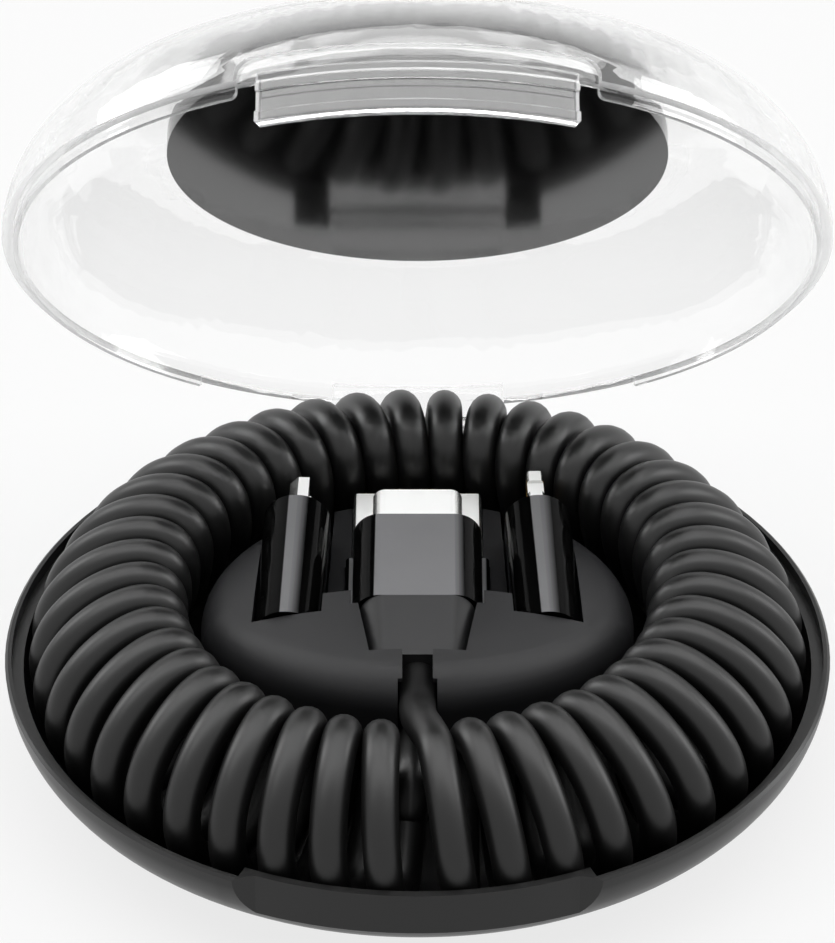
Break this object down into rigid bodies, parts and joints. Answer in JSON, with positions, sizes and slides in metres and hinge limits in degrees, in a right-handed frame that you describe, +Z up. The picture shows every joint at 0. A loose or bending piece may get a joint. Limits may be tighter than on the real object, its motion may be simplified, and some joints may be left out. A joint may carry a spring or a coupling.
{
  "type": "usb charging cable",
  "caption": "Coiled USB charging cord with plugs and tip adapters, stored in a round travel case with a clear hinged lid.",
  "frame": {"origin": "centre of the base's flat underside", "axes": "+Z up out of the case, +Y towards the lid's hinge, +X to the right seen from the front tab"},
  "size_m": [0.0753, 0.0812, 0.0729],
  "materials": {
    "case_plastic": "fine matte moulded black",
    "island_plastic": "matte moulded dark grey",
    "clear_plastic": "polished clear moulding",
    "gloss_black": "polished black",
    "cord_jacket": "soft matte black jacket",
    "boot_rubber": "matte dark grey overmould",
    "insert_plastic": "moulded black",
    "nickel": "bright nickel plate",
    "gold_contact": "thin gold plate",
    "board": "solder-masked board",
    "pin_steel": "drawn steel"
  },
  "bodies": {
    "base": {"base_shell": "case_plastic", "hinge_pin": "pin_steel", "plug_island": "island_plastic", "cord_coil": "cord_jacket", "cord_lead_c": "cord_jacket", "cord_lead_a": "cord_jacket", "upper_plug_shell": "nickel", "upper_plug_insert": "insert_plastic", "upper_plug_contacts": "gold_contact", "upper_plug_board": "board", "upper_plug_housing": "gloss_black", "upper_plug_boot": "boot_rubber", "lower_plug_shell": "nickel", "lower_plug_tongue": "insert_plastic", "lower_plug_contacts": "gold_contact", "lower_plug_housing": "gloss_black", "lower_plug_boot": "boot_rubber", "slim_adapter_housing": "gloss_black", "slim_adapter_board": "board", "slim_adapter_socket_shell": "nickel", "slim_adapter_socket_tongue": "insert_plastic", "slim_adapter_socket_contacts": "gold_contact", "slim_adapter_tip": "nickel", "slim_adapter_pads": "gold_contact", "micro_adapter_housing": "gloss_black", "micro_adapter_board": "board", "micro_adapter_socket_shell": "nickel", "micro_adapter_socket_tongue": "insert_plastic", "micro_adapter_socket_contacts": "gold_contact", "micro_adapter_shell": "nickel", "micro_adapter_tongue": "insert_plastic", "micro_adapter_contacts": "gold_contact", "micro_adapter_hooks": "nickel"},
    "lid": {"lid_cover": "clear_plastic", "lid_disc": "gloss_black"}
  },
  "joints": [
    {"name": "lid_hinge", "type": "hinge", "parent": "base", "child": "lid", "pos_m": [0, 0.0378, 0.0067], "axis": [-1, 0, 0], "range_deg": [-56.4, 45]}
  ]
}
